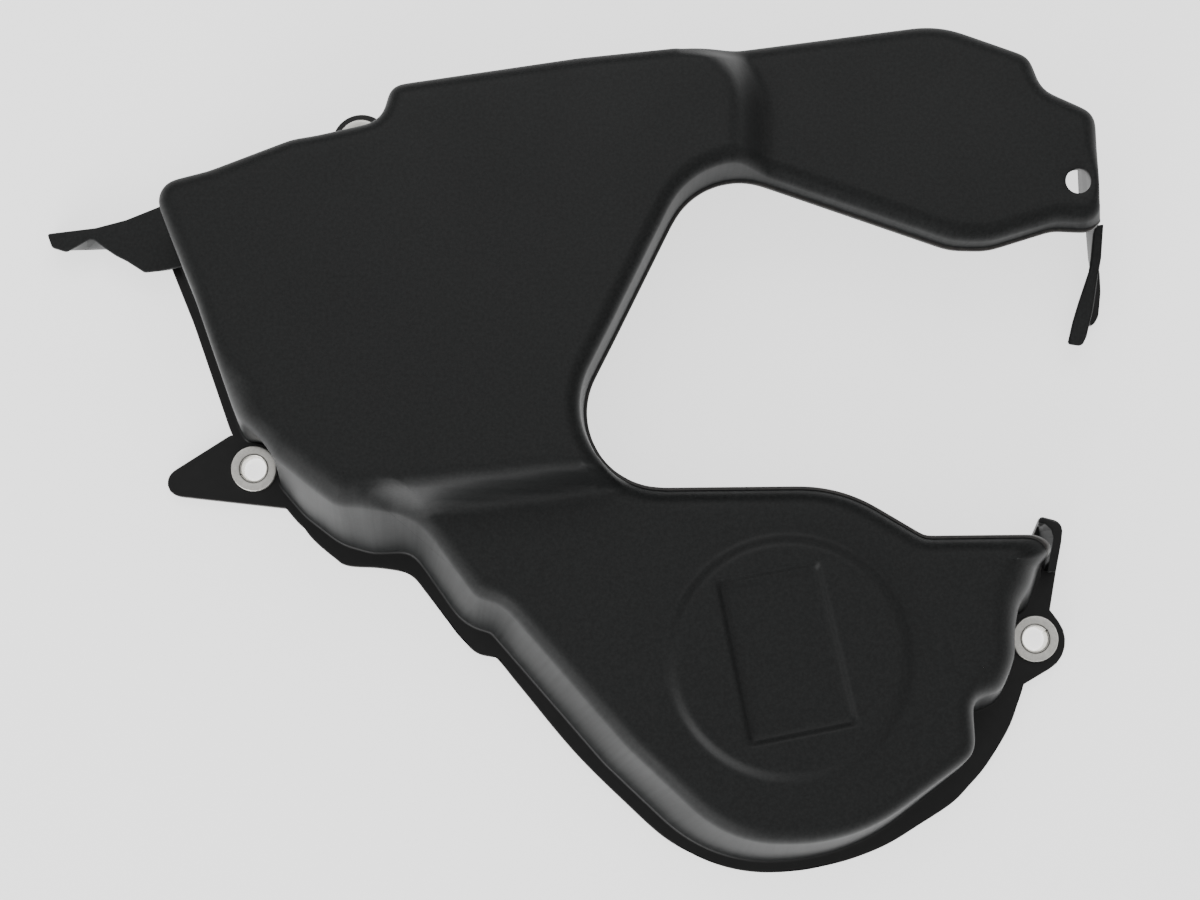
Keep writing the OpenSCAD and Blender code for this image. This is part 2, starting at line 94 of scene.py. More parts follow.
def pocket(crowns, centre, turns):
    """Corners whose feet run round a sleeve, at POCKET_R from its axis, while the crown goes its own way."""
    return [(*place(*at), 0, 0, 0, *on_circle(centre, POCKET_R, turn)) for at, turn in zip(crowns, turns)]


LOWER_BAY, LOWER_BAY_R = (0.3797, 0.0556), 0.0744
UPPER_BAY, UPPER_BAY_R = (0.4504, 0.2379), 0.0737
ARM_CORNERS = [
    corner((0.7725, 0.2720), 0.0150, SILL, SILL_LEAN),
    corner((0.7725, 0.2990), 0, 0, SKIRT_LEAN),
    corner((0.7711, 0.3969), 0.0168, 0, SKIRT_LEAN),
    corner((0.7235, 0.4249), 0.0134, 0, TOP_LEAN),
    corner((0.7125, 0.4635), 0.0168, 0, TOP_LEAN),
    corner((0.6317, 0.5004), 0.0938, 0, TOP_LEAN),
    corner((0.4440, 0.4687), 0, 0, TOP_LEAN),
    corner((0.4110, 0.4619), 0, 0, TOP_LEAN),
]
HIGH_CORNERS = [
    corner((0.3053, 0.4478), 0, 0, TOP_LEAN),
    corner((0.1376, 0.4165), 0.0151, 0, TOP_LEAN / 2),
    corner((0.1310, 0.3766), 0.0235, 0, NOOK_LEAN),
    corner((0.0721, 0.3596), 0, 0, NOOK_LEAN),
    corner((0.0509, 0.3550), 0, 0, NOOK_LEAN * 2),
    corner((-0.0218, 0.3181), 0, 0, TOP_LEAN),
    corner((-0.0717, 0.3015), 0.0184, 0, LEFT_LEAN),
    corner((-0.0338, 0.1862), 0, 0, LEFT_LEAN),
    corner((0.0030, 0.0560), 0.0150, 0, LEFT_LEAN),
]
LEFT_POCKET = pocket(
    [(0.0100, 0.0392), (0.0178, 0.0292), (0.0255, 0.0191), (0.0333, 0.0091), (0.0410, -0.0009)],
    (0.0, 0.0),
    [108, 72, 36, 0, -34],
)
FRONT_CORNERS = [
    corner((0.0670, -0.0250), 0, 0, FRONT_LEAN),
    corner((0.0938, -0.0509), 0.0168, 0, FRONT_LEAN),
]
HIGH_TO_LOW = [
    corner((0.1223, -0.0513), 0, 0, FRONT_LEAN, (0.1123, -0.1026)),
    corner((0.1357, -0.0517), 0, 0, FRONT_LEAN, (0.1260, -0.1024)),
    corner((0.1488, -0.0547), 0, 0, FRONT_LEAN, (0.1380, -0.1021)),
    corner((0.1562, -0.0615), 0, 0, FRONT_LEAN, (0.1454, -0.1037)),
    corner((0.1622, -0.0679), 0, 0, FRONT_LEAN, (0.1515, -0.1086)),
    corner((0.1682, -0.0746), 0, 0, FRONT_LEAN, (0.1562, -0.1154)),
    corner((0.1743, -0.0818), 0, 0, FRONT_LEAN, (0.1609, -0.1238)),
]
LOW_CORNERS = [
    corner((0.2158, -0.1518), 0.0168, 0, DOME_LEAN),
    corner((0.2389, -0.1586), 0.0380, 0, DOME_LEAN),
    corner((0.3502, -0.3193), 0, 0, DOME_LEAN),
    corner((0.4400, -0.4257), 0.1106, 0, DOME_LEAN),
    corner((0.5479, -0.4260), 0.1676, 0, BASE_LEAN),
    corner((0.6548, -0.3287), 0.0201, 0, SIDE_LEAN),
    corner((0.6525, -0.2650), 0.0087, 0, SIDE_LEAN, (0.6680, -0.2884)),
    corner((0.6790, -0.2578), 0.0168, 0, SIDE_LEAN, (0.6960, -0.2780)),
    corner((0.6870, -0.2354), 0, 0, SIDE_LEAN, (0.7020, -0.2480)),
]
RIGHT_POCKET = pocket(
    [(0.6908, -0.2172), (0.6930, -0.1960), (0.6952, -0.1795), (0.6985, -0.1560), (0.7060, -0.1340)],
    SLEEVES["bolt_sleeve_right"][:2],
    [232, 199, 166, 133, 100],
)
SILL_CORNERS = [
    corner((0.7080, -0.1226), 0, 0, SIDE_LEAN, (0.7370, -0.1180)),
    corner((0.7170, -0.0916), 0.0160, SILL, SILL_LEAN),
    corner((0.6136, -0.0933), 0.0168, SILL, SILL_LEAN),
    corner((0.5382, -0.0365), 0.1273, SILL, SILL_LEAN),
    *bay(LOWER_BAY, LOWER_BAY_R, [270, 258, 246]),
]
LOW_TO_HIGH = bay(LOWER_BAY, LOWER_BAY_R, [234, 230, 227, 223, 220, 216, 213])
UPPER_SILL_CORNERS = [
    *bay(LOWER_BAY, LOWER_BAY_R, [202, 191, 180, 169, 158, 149]),
    corner((0.3324, 0.1455), 0, SILL, SILL_LEAN),
    *bay(UPPER_BAY, UPPER_BAY_R, [154, 142, 130, 118, 106, 95, 92, 89, 86, 83, 80, 77, 71]),
    corner((0.6424, 0.2515), 0.0503, SILL, SILL_LEAN),
    corner((0.6749, 0.2506), 0.0503, SILL, SILL_LEAN),
    corner((0.7346, 0.2744), 0.0335, SILL, SILL_LEAN),
]
STRETCHES = [
    ARM_CORNERS, HIGH_CORNERS, LEFT_POCKET, FRONT_CORNERS, HIGH_TO_LOW,
    LOW_CORNERS, RIGHT_POCKET, SILL_CORNERS, LOW_TO_HIGH, UPPER_SILL_CORNERS,
]
CORNERS = np.array([row for stretch in STRETCHES for row in stretch], float)
ARC_POINTS = 9
STATION_GAP = 1.0


def unit(v):
    """Vectors scaled to length one."""
    return v / np.maximum(np.linalg.norm(v, axis=-1, keepdims=True), 1e-12)


def left_of(a, b):
    """The unit vector to the left of the way from a to b."""
    d = unit(b - a)
    return np.stack([-d[:, 1], d[:, 0]], 1)


def mitres(at):
    """How a corner moves when both its sides move left by one.

    It is the sum of the sides' normals over one plus their product.
    """
    a = left_of(np.roll(at, 1, 0), at)
    b = left_of(at, np.roll(at, -1, 0))
    return (a + b) / (1 + (a * b).sum(1, keepdims=True))


def rounded(at, radius, count=ARC_POINTS):
    """A closed line with each corner turned into an arc of count points.

    The arc's centre lies on the corner's bisector at radius / sin(half angle), and its points are the
    even turn from one tangent point to the other. A corner that is nearly straight stays as it is.
    """
    u = unit(np.roll(at, 1, 0) - at)
    v = unit(np.roll(at, -1, 0) - at)
    half = np.arccos(np.clip((u * v).sum(1), -1, 1)) / 2
    bends = half < math.pi / 2 - 0.01
    half = np.where(bends, half, 1.0)
    centre = at + unit(u + v) * (radius / np.sin(half))[:, None]
    start = at + u * (radius / np.tan(half))[:, None] - centre
    stop = at + v * (radius / np.tan(half))[:, None] - centre
    sweep = (math.pi - 2 * half)[:, None, None]
    share = np.linspace(0, 1, count)[None, :, None]
    turned = start[:, None] * np.sin(sweep * (1 - share)) + stop[:, None] * np.sin(sweep * share)
    arc = centre[:, None] + turned / np.sin(sweep)
    return np.where(bends[:, None, None], arc, at[:, None]).reshape(-1, 2)


def raw_ring(out, shift):
    """The crown line moved by the share out towards the foot, then squarely inward by shift, and rounded."""
    at = CORNERS[:, :2]
    side = mitres(at)
    foot = np.where(np.isnan(CORNERS[:, 5:7]), at - side * CORNERS[:, 4:5], CORNERS[:, 5:7])
    u = unit(at - np.roll(at, 1, 0))
    v = unit(np.roll(at, -1, 0) - at)
    outward = u[:, 0] * v[:, 1] - u[:, 1] * v[:, 0] > 0
    move = shift - out * CORNERS[:, 4]
    base = np.maximum(CORNERS[:, 2], 0.0)
    radius = np.where(base > 0, np.maximum(0.3, base + np.where(outward, -move, move)), 0.3)
    return rounded(at + (foot - at) * out + side * shift, radius)


def soften(values, sigma):
    """A ring of evenly spaced values, smoothed by a Gaussian sigma millimetres wide."""
    waves = np.fft.rfftfreq(len(values), STATION_GAP)
    shrink = np.exp(-2 * (math.pi * sigma * waves) ** 2)
    shape = (-1,) + (1,) * (values.ndim - 1)
    return np.fft.irfft(np.fft.rfft(values, axis=0) * shrink.reshape(shape), len(values), axis=0)


def smooth_step(t):
    """3t^2 - 2t^3, held at 0 and 1 outside."""
    t = np.clip(t, 0, 1)
    return t * t * (3 - 2 * t)


def ramp_step(t, bend=0.3):
    """0 to 1 on a straight slope whose ends bend over the share bend.

    It is the integral of a slope that grows evenly, stays, and falls evenly.
    """
    t = np.clip(t, 0, 1)
    rise = t * t / (2 * bend)
    middle = t - bend / 2
    fall = 1 - bend - (1 - t) ** 2 / (2 * bend)
    return np.where(t < bend, rise, np.where(t > 1 - bend, fall, middle)) / (1 - bend)


def side_lengths(ring):
    """The length of each side of a closed ring."""
    return np.linalg.norm(np.diff(ring, axis=0, append=ring[:1]), axis=1)


crown_raw = raw_ring(0, 0)
foot_raw = raw_ring(1, 0)
step_lengths = (side_lengths(crown_raw) + side_lengths(foot_raw)) / 2 + 1e-6
raw_at = np.concatenate([[0], np.cumsum(step_lengths)])
STATIONS = int(raw_at[-1] / STATION_GAP)
stations = np.arange(STATIONS) * raw_at[-1] / STATIONS


def along(raw, sigma):
    """A raw ring read off at even steps along the wall, and softened."""
    closed = np.concatenate([raw, raw[:1]])
    read = np.stack([np.interp(stations, raw_at, column) for column in closed.reshape(len(closed), -1).T], 1)
    return soften(read, sigma)


crown = along(crown_raw, 1.4)
inward = (along(raw_ring(0, CROWN), 1.4) - crown) / CROWN
foot = along(foot_raw, 1.2)
foot_out = unit(foot - along(raw_ring(1, 1.0), 1.2))
inner_foot = along(raw_ring(1, WALL), 1.2)
inner_crown = along(raw_ring(0, WALL), 1.4)
foot_z = np.clip(along(np.repeat(CORNERS[:, 3], ARC_POINTS)[:, None], 0.8)[:, 0], 0, SILL)
on_engine = smooth_step(1 - foot_z / 3)


def near(places, reach):
    """For each station, 1 at any of the places and falling off as a bell curve of that reach."""
    gaps = np.linalg.norm(crown[:, None] - np.array(places)[None], axis=2)
    return np.exp(-(gaps / reach) ** 2).max(1)


# The crown is rounder beside the left and right sleeves: by how much, where, over what reach, and only
# where the wall's foot is below the height given last.
ROUNDER = [
    (3.4, [(10.0, 2.0), (17.0, -3.5), (24.0, -8.5), (31.0, -12.0), (38.0, -12.0)], 7.0, 1.0),
    (6.0, [(0.5, 13.5)], 6.5, 1.0),
    (2.6, [(206.5, -47.0), (203.0, -61.0)], 8.0, 1.0),
    (4.6, [(211.0, -31.0), (208.5, -37.0)], 5.0, SILL + 1),
]
# It is tight beside the arm's hole, which lies close to the wall.
TIGHTER, TIGHT_AT, TIGHT_REACH = 3.3, [(230.5, 73.0), (230.5, 76.0)], 4.5

crown_r = np.full(STATIONS, CROWN)
for more, places, reach, foot_below in ROUNDER:
    crown_r = crown_r + more * near(places, reach) * (foot_z < foot_below)
crown_r = soften(crown_r - TIGHTER * near(TIGHT_AT, TIGHT_REACH), 3.0)
plateau_edge = crown + inward * crown_r[:, None]


def straight_share(points, a, b, c, d):
    """How far each point is from the line ab to the line cd, by its signed distances from both."""
    def signed(p, q):
        way = unit(q - p)
        return way[0] * (points[:, 1] - p[1]) - way[1] * (points[:, 0] - p[0])

    first, second = signed(np.array(a), np.array(b)), signed(np.array(c), np.array(d))
    between = np.where(first == second, 1, first - second)
    return np.where(first >= 0, 0.0, np.where(second <= 0, 1.0, first / between))


RAMP_TOP = ((32.7, -7.8), (91.3, -1.8))
RAMP_BOTTOM = ((54.5, -14.5), (95.2, -9.4))
RAMP_LEFT, RAMP_START = 34.0, 9.0
STEP_CENTRE, STEP_R, STEP_BACK, STEP_RUN = (117.7, 92.6), 17.4, 4.2, 12.0
# The step to the arm lies above this line, the ramp below it.
STEP_SIDE_Y = 30


def plateau_height(points):
    """Height of the shell's top over the plan: HIGH, less a smooth fall to the arm and one to the lobe.

    The step to the arm falls over STEP_RUN outward from an arc, carried on straight below its centre. The
    ramp falls between two straight lines.
    """
    x, y = points[:, 0], points[:, 1]
    dx = x - STEP_CENTRE[0]
    dy = np.maximum(y - STEP_CENTRE[1], 0)
    beyond = np.where(dx > 0, np.hypot(dx, dy), -np.inf) - STEP_R
    arm = smooth_step((beyond + STEP_BACK) / STEP_RUN) * (y > STEP_SIDE_Y)
    ramp = ramp_step(straight_share(points, *RAMP_TOP, *RAMP_BOTTOM))
    low = ramp * smooth_step((x - RAMP_LEFT) / RAMP_START) * (y < STEP_SIDE_Y)
    return HIGH - (HIGH - ARM) * arm - (HIGH - LOW) * low


WINDOW = np.array([place(*at) for at in WINDOW_CORNERS])
# How sharply the window's sides meet at its corners.
WINDOW_SHARP = 2.2


def from_pad(points):
    """Distance of each point from the pad's centre."""
    return np.hypot(points[:, 0] - PAD_CENTRE[0], points[:, 1] - PAD_CENTRE[1])


def inside_window(points):
    """How far each point is inside each of the window's four sides."""
    return ((points[:, None] - WINDOW[None]) * left_of(WINDOW, np.roll(WINDOW, -1, 0))[None]).sum(2)


def pad_height(points):
    """Height of the round pad over the lobe, less the window sunk in it by WINDOW_DEPTH."""
    raised = PAD_H * smooth_step((PAD_R + 0.3 - from_pad(points)) / (PAD_EDGE + 0.6))
    inside = np.clip(inside_window(points), -8, 8)
    depth = -np.log(np.exp(-WINDOW_SHARP * inside).sum(1)) / WINDOW_SHARP
    return raised - WINDOW_DEPTH * smooth_step((depth + 0.1) / WINDOW_EDGE)


top = soften(plateau_height(crown + inward * 0.5), 0.8)
# The lip runs where the foot is up at the sill, and stops beside the tongue.
lip_share = soften(smooth_step((foot_z - SILL + 3) / 3), 2.0) * (1 - near([(231.5, 67.0)], 3.5))
# Painted shade: the open side and the walls that face away from the viewer's side give less mirror light than
# the rest, so that they read darker.
painted_shade_side = np.maximum(soften(smooth_step(foot_z / SILL), 2.0), smooth_step((-inward[:, 1] - 0.1) / 0.5))


def in_polygon(points, polygon):
    """True where a ray to the right of the point crosses the outline an odd number of times."""
    x, y = points[:, 0][:, None], points[:, 1][:, None]
    a, b = polygon, np.roll(polygon, -1, 0)
    crosses = (a[:, 1] > y) != (b[:, 1] > y)
    rise = np.where(b[:, 1] == a[:, 1], 1e-12, b[:, 1] - a[:, 1])
    at = (b[:, 0] - a[:, 0]) * (y - a[:, 1]) / rise + a[:, 0]
    return ((crosses & (x < at)).sum(1) % 2) == 1


def clearance(points, others):
    """Distance from each point to the nearest of the others."""
    return np.sqrt(((points[:, None] - others[None]) ** 2).sum(2)).min(1)


def hex_grid(low, high, gap):
    """Points of a triangular lattice over a rectangle."""
    xs = np.arange(low[0], high[0], gap)
    ys = np.arange(low[1], high[1], gap * math.sqrt(0.75))
    x, y = np.meshgrid(xs, ys)
    x = x + (np.arange(len(ys)) % 2)[:, None] * gap / 2
    return np.stack([x.ravel(), y.ravel()], 1)


def circle(cx, cy, r, count):
    """A closed ring of points on a circle."""
    a = np.arange(count) * 2 * math.pi / count
    return np.stack([cx + r * np.cos(a), cy + r * np.sin(a)], 1)


def turned_left(ring):
    """The ring in the order that keeps its inside on the left."""
    after = np.roll(ring, -1, 0)
    return ring if (ring[:, 0] * after[:, 1] - after[:, 0] * ring[:, 1]).sum() > 0 else ring[::-1]


# Triangles of less than this area, doubled, in square millimetres are left out.
THIN = 1e-6


def triangulate(rings, loose, keep, solid_left=False):
    """Delaunay triangles over closed rings and loose points. keep says which triangles' middles belong.

    With solid_left the first ring has the solid on its left, and a triangle on that ring's edge belongs when
    it runs along the edge the ring's way. This settles the very thin ones on a straight ring.
    """
    points = np.concatenate([*rings, loose])
    starts = np.cumsum([0] + [len(r) for r in rings])
    edges = np.concatenate([
        np.stack([np.arange(len(r)), (np.arange(len(r)) + 1) % len(r)], 1) + start
        for r, start in zip(rings, starts)
    ])
    made = delaunay_2d_cdt([Vector(p) for p in points.tolist()], edges.tolist(), [], 0, 1e-5, False)
    flat = np.array([tuple(p) for p in made[0]], float)
    tris = np.array(made[2], int)
    a, b, c = flat[tris[:, 0]], flat[tris[:, 1]], flat[tris[:, 2]]
    area = (b[:, 0] - a[:, 0]) * (c[:, 1] - a[:, 1]) - (b[:, 1] - a[:, 1]) * (c[:, 0] - a[:, 0])
    tris = np.where((area < 0)[:, None], tris[:, ::-1], tris)
    tris = tris[np.abs(area) > THIN]
    inside = keep(flat[tris].mean(1))
    if solid_left:
        count = len(rings[0])
        place_of = ((points[:count, None] - flat[None, :count]) ** 2).sum(2).argmin(1)
        following = np.roll(place_of, -1)
        ahead = place_of * len(flat) + following
        behind = following * len(flat) + place_of
        sides = tris * len(flat) + np.roll(tris, -1, 1)
        inside = (inside | np.isin(sides, ahead).any(1)) & ~np.isin(sides, behind).any(1)
    return flat, tris[inside]


def grid_faces(rows, columns):
    """Quads between closed rings of as many points each.

    They face away from the side on which the rings run anticlockwise.
    """
    i = np.arange(columns)
    j = (i + 1) % columns
    r = np.arange(rows - 1)[:, None] * columns
    return np.stack([r + i, r + columns + i, r + columns + j, r + j], 2).reshape(-1, 4)


class Skin:
    """Vertices, faces, materials and a plan or wall map, gathered before one mesh is made."""

    def __init__(self):
        self.points, self.maps, self.walls, self.dulls, self.faces, self.kinds = [], [], [], [], [], []
        self.count = 0

    def add(self, points, faces, kind=0, uv=None, wall=0.0, dull=0.0):
        """Adds a patch of points, with faces numbered from its own first point."""
        self.points.append(points)
        self.maps.append(points[:, :2] if uv is None else uv)
        self.walls.append(np.broadcast_to(np.asarray(wall, float), (len(points),)))
        self.dulls.append(np.broadcast_to(np.asarray(dull, float), (len(points),)))
        self.faces.append(faces + self.count)
        self.kinds.append(np.broadcast_to(np.asarray(kind), (len(faces),)))
        self.count += len(points)

    def mesh(self, name, materials, weld=0.004, sharp=None):
        """Makes the object, with the patches welded where they meet."""
        co = np.concatenate(self.points) * MM
        uv = np.concatenate(self.maps) * MM
        data = bpy.data.meshes.new(name)
        data.from_pydata(co.tolist(), [], [f for patch in self.faces for f in patch.tolist()])
        data.polygons.foreach_set("material_index", np.concatenate(self.kinds).astype(np.int32))
        loops = np.zeros(len(data.loops), np.int32)
        data.loops.foreach_get("vertex_index", loops)
        data.uv_layers.new(name="UVMap").data.foreach_set("uv", uv[loops].ravel().astype(np.float32))
        for share, values in (("wall", self.walls), ("dull", self.dulls)):
            values = np.concatenate(values).astype(np.float32)
            data.attributes.new(share, "FLOAT", "POINT").data.foreach_set("value", values)
        for material in materials:
            data.materials.append(material)
        work = bmesh.new()
        work.from_mesh(data)
        bmesh.ops.remove_doubles(work, verts=work.verts, dist=weld * MM)
        bmesh.ops.dissolve_degenerate(work, edges=work.edges, dist=1e-6)
        work.to_mesh(data)
        work.free()
        data.polygons.foreach_set("use_smooth", np.ones(len(data.polygons), bool))
        if sharp is not None:
            data.set_sharp_from_angle(angle=math.radians(sharp))
        piece = bpy.data.objects.new(name, data)
        bpy.context.scene.collection.objects.link(piece)
        return piece


def level(ring, z):
    """A ring of plan places lifted to a height or to a height each."""
    return np.concatenate([ring, np.broadcast_to(np.asarray(z, float).reshape(-1, 1), (len(ring), 1))], 1)


CROWN_ROWS, STRAIGHT_ROWS = 12, 12
# The crown takes no more than this share of the wall's height.
CROWN_SHARE = 0.86
# The end of the wall, row by row: how far out and how high it is on the lip, then on the engine's rim.
FLARE = [
    (0.06, 1.22, 0.16, 3.30),
    (0.16, LIP_T, 0.42, 3.06),
    (0.62, LIP_T, 0.72, 2.98),
    (LIP_W, LIP_T - 0.2, 0.95, 2.90),
    (LIP_W, 0.15, 0.95, 0.9),
    (LIP_W - 0.15, 0.0, 0.8, 0.8),
]


def wall_rows():
    """Outer rows of the wall from the plateau's edge to the foot, with how upright each one is.

    The crown is a rational curve of weight 0.75 from the plateau's edge through the crown line to the wall,
    and the wall runs straight to the foot. On the engine side it ends in a small fillet that dips into the
    rim; on the open side it ends in the narrow lip.
    """
    rows, upright = [], []
    height = top - foot_z
    bend = np.minimum(crown_r, CROWN_SHARE * height)

    def down_wall(z):
        """The wall's places in plan at a height."""
        return crown + (foot - crown) * ((top - z) / height)[:, None]

    for s in np.linspace(1, 0, CROWN_ROWS):
        a, b, c = (1 - s) ** 2, 2 * 0.75 * s * (1 - s), s * s
        total = a + b + c
        drop = bend * a / total
        flat = crown + (foot - crown) * (drop / height)[:, None] + inward * (crown_r * c / total)[:, None]
        held = s * s * (3 - 2 * s)
        rows.append(level(flat, plateau_height(flat) * held + top * (1 - held) - drop))
        upright.append(1 - s)
    wall_end = foot_z + 1.35 + 2.6 * on_engine
    wall_end = np.minimum(wall_end, top - bend - 0.3)
    for s in np.linspace(0, 1, STRAIGHT_ROWS + 1)[1:]:
        z = (top - bend) * (1 - s) + wall_end * s
        rows.append(level(down_wall(z), z))
        upright.append(1.0)
    for lip_out, lip_z, rim_out, rim_z in FLARE:
        out = lip_out * lip_share + rim_out * on_engine
        z = foot_z + lip_z * (1 - on_engine) + rim_z * on_engine
        rows.append(level(down_wall(z) + foot_out * out[:, None], z))
        upright.append(0.0)
    return rows, upright


def inner_rows():
    """Inner rows from the foot up to the ceiling's edge, WALL away from the outer ones and rounded once."""
    base = level(inner_foot, foot_z + 0.7 * on_engine)
    height = top - foot_z
    bend = np.minimum(crown_r, CROWN_SHARE * height)
    share = (bend / height)[:, None]
    spring = level(inner_crown + (inner_foot - inner_crown) * share, top - bend)
    peak = level(inner_crown, np.minimum(top, plateau_height(inner_crown)) - WALL)
    edge = level(plateau_edge, plateau_height(plateau_edge) - WALL)
    rows = [base * (1 - s) + spring * s for s in (0.0, 0.35, 0.7, 1.0)]
    rows += [spring * (1 - s) ** 2 + peak * 2 * s * (1 - s) + edge * s * s for s in (0.3, 0.6, 1.0)]
    return rows


HOLE_SIDES = 48
# How far the arm's hole widens at its upper and lower mouth.
UPPER_MOUTH, LOWER_MOUTH = 0.26, 0.2
# Loose points closer than this to an edge of the plateau are left out.
EDGE_CLEAR = 0.9


def plateau(skin, height, hole_r, gap, kind, upward, fine=None):
    """Fills the plateau's edge with triangles at the given height over the plan, open at the arm's hole."""
    hole = circle(*ARM_HOLE[:2], hole_r, HOLE_SIDES)
    low, high = plateau_edge.min(0), plateau_edge.max(0)
    loose = hex_grid(low, high, gap)
    if fine is not None:
        loose = np.concatenate([loose[~fine(loose)], fine.points])
    loose = loose[in_polygon(loose, plateau_edge)]
    loose = loose[clearance(loose, plateau_edge) > EDGE_CLEAR]
    loose = loose[clearance(loose, hole) > EDGE_CLEAR]
    loose = loose[~in_polygon(loose, hole)]

    def belongs(middle):
        return in_polygon(middle, plateau_edge) & ~in_polygon(middle, hole)

    flat, tris = triangulate([turned_left(plateau_edge), hole], loose, belongs, True)
    skin.add(level(flat, height(flat)), tris if upward else tris[:, ::-1], kind)


class PadDetail:
    """Close points over the pad's sloping edge and along the window's sides, where the height changes."""

    def __init__(self):
        radii = np.arange(PAD_R - PAD_EDGE - 1.2, PAD_R + 1.6, 0.62)
        rings = [circle(*PAD_CENTRE, r, 150) for r in radii]
        shrink = mitres(WINDOW)
        t = np.linspace(0, 1, 56)[None, :-1, None]
        lines = []
        for move in np.arange(-0.5, 2.3, 0.4):
            b = WINDOW + shrink * move
            lines.append((b[:, None] * (1 - t) + np.roll(b, -1, 0)[:, None] * t).reshape(-1, 2))
        self.points = np.concatenate(rings + lines + [self.filling()])

    def filling(self):
        """A lattice between the window and the pad's slope, and inside the window."""
        centre = np.array(PAD_CENTRE)
        grid = hex_grid(centre - 36, centre + 36, 1.5)
        inside = inside_window(grid).min(1)
        return grid[(from_pad(grid) < PAD_R - PAD_EDGE - 1.8) & ((inside < -1.2) | (inside > 2.9))]

    def __call__(self, points):
        return from_pad(points) < PAD_R + 2.4


def hole_wall(skin):
    """The arm's hole: a straight wall with both mouths a little rounded."""
    rows = [
        (UPPER_MOUTH, ARM), (0.10, ARM - 0.06), (0.0, ARM - UPPER_MOUTH),
        (0.0, ARM - WALL + LOWER_MOUTH), (LOWER_MOUTH, ARM - WALL),
    ]
    rings = [level(circle(*ARM_HOLE[:2], ARM_HOLE[2] + out, HOLE_SIDES), z) for out, z in rows]
    skin.add(np.concatenate(rings), grid_faces(len(rows), HOLE_SIDES)[:, ::-1], 1)


# Materials of the shell's faces, by their place in its list.
GRAINED, SMOOTH, EDGE_HIGHLIGHT, INSIDE = range(4)
# How dull a wall is everywhere, and how much painted shade, as less mirror light, it takes on the open side
# and where it faces away.
DULL, PAINTED_SHADE_MORE = 0.42, 0.4


def moulded_shell(materials):
    """The shell: outer wall, outer top, inner wall and ceiling, closed at the foot."""
    skin = Skin()
    rows, upright = wall_rows()
    inside = inner_rows()
    uv = np.concatenate([np.stack([stations, np.full(STATIONS, k * 1.5)], 1) for k in range(len(rows))])
    # The strips between the flare's rows: the first is smooth, and the rest carry a painted edge highlight on
    # the open side.
    kinds = np.concatenate([
        np.full(STATIONS * (len(rows) - len(FLARE)), GRAINED),
        np.full(STATIONS, SMOOTH),
        np.tile(np.where(on_engine > 0.5, SMOOTH, EDGE_HIGHLIGHT), len(FLARE) - 2),
    ])
    # Painted shade: walls on the open side and those facing away take less mirror light.
    dull = np.minimum(1, 2 * np.array(upright))[:, None] * (DULL + PAINTED_SHADE_MORE * painted_shade_side)[None]
    wall = np.repeat(upright, STATIONS)
    skin.add(np.concatenate(rows), grid_faces(len(rows), STATIONS), kinds, uv, wall, dull.ravel())
    skin.add(np.concatenate([rows[-1], *inside]), grid_faces(len(inside) + 1, STATIONS), INSIDE)
    outer_hole_r, inner_hole_r = ARM_HOLE[2] + UPPER_MOUTH, ARM_HOLE[2] + LOWER_MOUTH
    plateau(skin, lambda p: plateau_height(p) + pad_height(p), outer_hole_r, 2.4, GRAINED, True, PadDetail())
    plateau(skin, lambda p: plateau_height(p) - WALL, inner_hole_r, 4.5, INSIDE, False)
    hole_wall(skin)
    return skin.mesh("moulded_shell", materials)


OUTLINE_ARC, OUTLINE_GAP = 7, 0.9
# Corners without a radius of their own have this one, as a share of the cover's length.
SMALL_ROUND = 0.0012


def outline(rows):
    """A dense closed outline from rows of place and corner radius, both as shares."""
    at = np.array([place(r[0], r[1]) for r in rows])
    radius = np.array([(r[2] if len(r) > 2 else SMALL_ROUND) * COVER_SIZE[0] for r in rows])
    line = rounded(at, radius, OUTLINE_ARC)
    closed = np.concatenate([line, line[:1]])
    run = np.concatenate([[0], np.cumsum(np.linalg.norm(np.diff(closed, axis=0), axis=1) + 1e-7)])
    total = int(run[-1] / OUTLINE_GAP)
    read = np.arange(total) * run[-1] / total
    return np.stack([np.interp(read, run, closed[:, 0]), np.interp(read, run, closed[:, 1])], 1)


def evenly_shaded(piece):
    """Adds a modifier that keeps large faces flat beside their rounded edges."""
    even = piece.modifiers.new("even_shading", "WEIGHTED_NORMAL")
    even.weight = 80
    return piece


